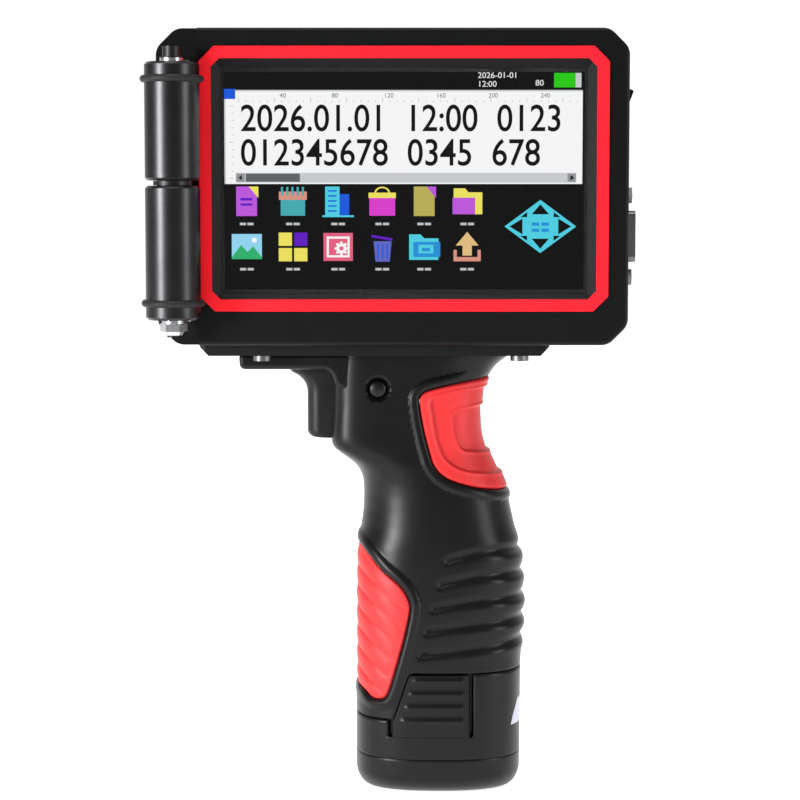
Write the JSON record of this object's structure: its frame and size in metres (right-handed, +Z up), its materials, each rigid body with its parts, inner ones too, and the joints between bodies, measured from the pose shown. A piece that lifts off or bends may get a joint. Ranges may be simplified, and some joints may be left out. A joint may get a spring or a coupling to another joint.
{
  "type": "date code inkjet printer",
  "caption": "Handheld gun-shaped inkjet coder with a touch screen head, guide rollers, trigger, padded grip and a slide-out battery in the handle.",
  "frame": {"origin": "centre of the battery's flat bottom, on which the printer stands", "axes": "+Z up; the screen faces -Y; the printing face with its rollers is at -X; connectors and power switch at +X"},
  "size_m": [0.1488, 0.1014, 0.237],
  "materials": {
    "black_abs": "satin moulded",
    "red_trim": "satin moulded",
    "red_rubber": "soft-touch matte",
    "black_roller": "black anodised satin",
    "black_rubber": "matte",
    "steel": "bright zinc plated",
    "dark_steel": "black oxide",
    "glass": "polished",
    "screen": "lit display",
    "board": "solder mask",
    "gold": "gold plated",
    "cell": "shrink sleeve",
    "cartridge": "moulded",
    "dark_plate": "black powder coat"
  },
  "bodies": {
    "printer": {"head_front_shell": "black_abs", "head_rear_shell": "black_abs", "head_screws": "dark_steel", "red_trim_ring": "red_trim", "touch_glass": "glass", "display_gasket": "black_rubber", "lcd_module": "screen", "main_board": "board", "speaker": "cartridge", "encoder_sensor": "board", "cartridge_bay": "black_abs", "cartridge_contacts": "board", "dsub_shell": "steel", "dsub_insulator": "black_abs", "dsub_jackscrews": "steel", "power_switch_frame": "black_abs", "mounting_plate": "dark_plate", "plate_screws": "steel", "handle_screws": "dark_steel", "grip_shell_near": "black_abs", "grip_shell_far": "black_abs", "upper_pad_near": "red_rubber", "upper_pad_far": "red_rubber", "lower_pad_near": "red_rubber", "lower_pad_far": "red_rubber", "grip_screws": "dark_steel", "trigger_switch": "cartridge", "side_button_switch": "cartridge", "battery_contact_block": "black_abs", "roller_bracket_near": "steel", "roller_axle_near": "steel", "axle_screw_near": "dark_steel", "axle_washer_near": "dark_steel", "axle_nut_near": "steel", "roller_bracket_far": "steel", "roller_axle_far": "steel", "axle_screw_far": "dark_steel", "axle_washer_far": "dark_steel", "axle_nut_far": "steel"},
    "rocker": {"power_rocker": "black_abs"},
    "cartridge": {"ink_cartridge": "cartridge", "nozzle_plate": "gold"},
    "trigger_button": {"trigger": "black_abs", "trigger_spring": "steel"},
    "side_key": {"side_button": "black_abs"},
    "battery": {"battery_case": "black_abs", "battery_bottom_cap": "black_abs", "battery_cells": "cell", "battery_terminals": "gold"},
    "latch_near": {"release_tab_near": "black_abs"},
    "latch_far": {"release_tab_far": "black_abs"},
    "upper_spinner_near": {"upper_roller_near": "black_roller", "upper_o_ring_near": "black_rubber"},
    "lower_spinner_near": {"lower_roller_near": "black_roller", "lower_o_ring_near": "black_rubber"},
    "upper_spinner_far": {"upper_roller_far": "black_roller", "upper_o_ring_far": "black_rubber"},
    "lower_spinner_far": {"lower_roller_far": "black_roller", "lower_o_ring_far": "black_rubber"}
  },
  "joints": [
    {"name": "upper_roller_near_spin", "type": "hinge", "parent": "printer", "child": "upper_spinner_near", "pos_m": [-0.0792, -0.0412, 0.19], "axis": [0, 0, 1], "continuous": true},
    {"name": "lower_roller_near_spin", "type": "hinge", "parent": "printer", "child": "lower_spinner_near", "pos_m": [-0.0792, -0.0412, 0.19], "axis": [0, 0, 1], "continuous": true},
    {"name": "upper_roller_far_spin", "type": "hinge", "parent": "printer", "child": "upper_spinner_far", "pos_m": [-0.0792, 0.0412, 0.19], "axis": [0, 0, 1], "continuous": true},
    {"name": "lower_roller_far_spin", "type": "hinge", "parent": "printer", "child": "lower_spinner_far", "pos_m": [-0.0792, 0.0412, 0.19], "axis": [0, 0, 1], "continuous": true},
    {"name": "trigger_pull", "type": "slide", "parent": "printer", "child": "trigger_button", "axis": [1, 0, 0], "range_m": [0, 0.006], "stiffness_N_per_m": 400, "springref_m": -0.004, "deforming": ["trigger_spring"]},
    {"name": "side_button_press", "type": "slide", "parent": "printer", "child": "side_key", "axis": [0, 1, 0], "range_m": [0, 0.0012], "stiffness_N_per_m": 600, "springref_m": -0.001},
    {"name": "power_rocker_tilt", "type": "hinge", "parent": "printer", "child": "rocker", "pos_m": [0.0568, -0.018, 0.2154], "axis": [0, -1, 0], "range_deg": [0, 20]},
    {"name": "battery_slide", "type": "slide", "parent": "printer", "child": "battery", "axis": [0, 0, -1], "range_m": [0, 0.08]},
    {"name": "latch_near_press", "type": "hinge", "parent": "battery", "child": "latch_near", "pos_m": [0, -0.0211, 0.0187], "axis": [-1, 0, 0], "range_deg": [0, 3], "stiffness_Nm_per_rad": 0.4, "springref_deg": -2.86},
    {"name": "latch_far_press", "type": "hinge", "parent": "battery", "child": "latch_far", "pos_m": [0, 0.0211, 0.0187], "axis": [1, 0, 0], "range_deg": [0, 3], "stiffness_Nm_per_rad": 0.4, "springref_deg": -2.86},
    {"name": "cartridge_slide", "type": "slide", "parent": "printer", "child": "cartridge", "axis": [-1, 0, 0], "range_m": [0, 0.08]}
  ]
}
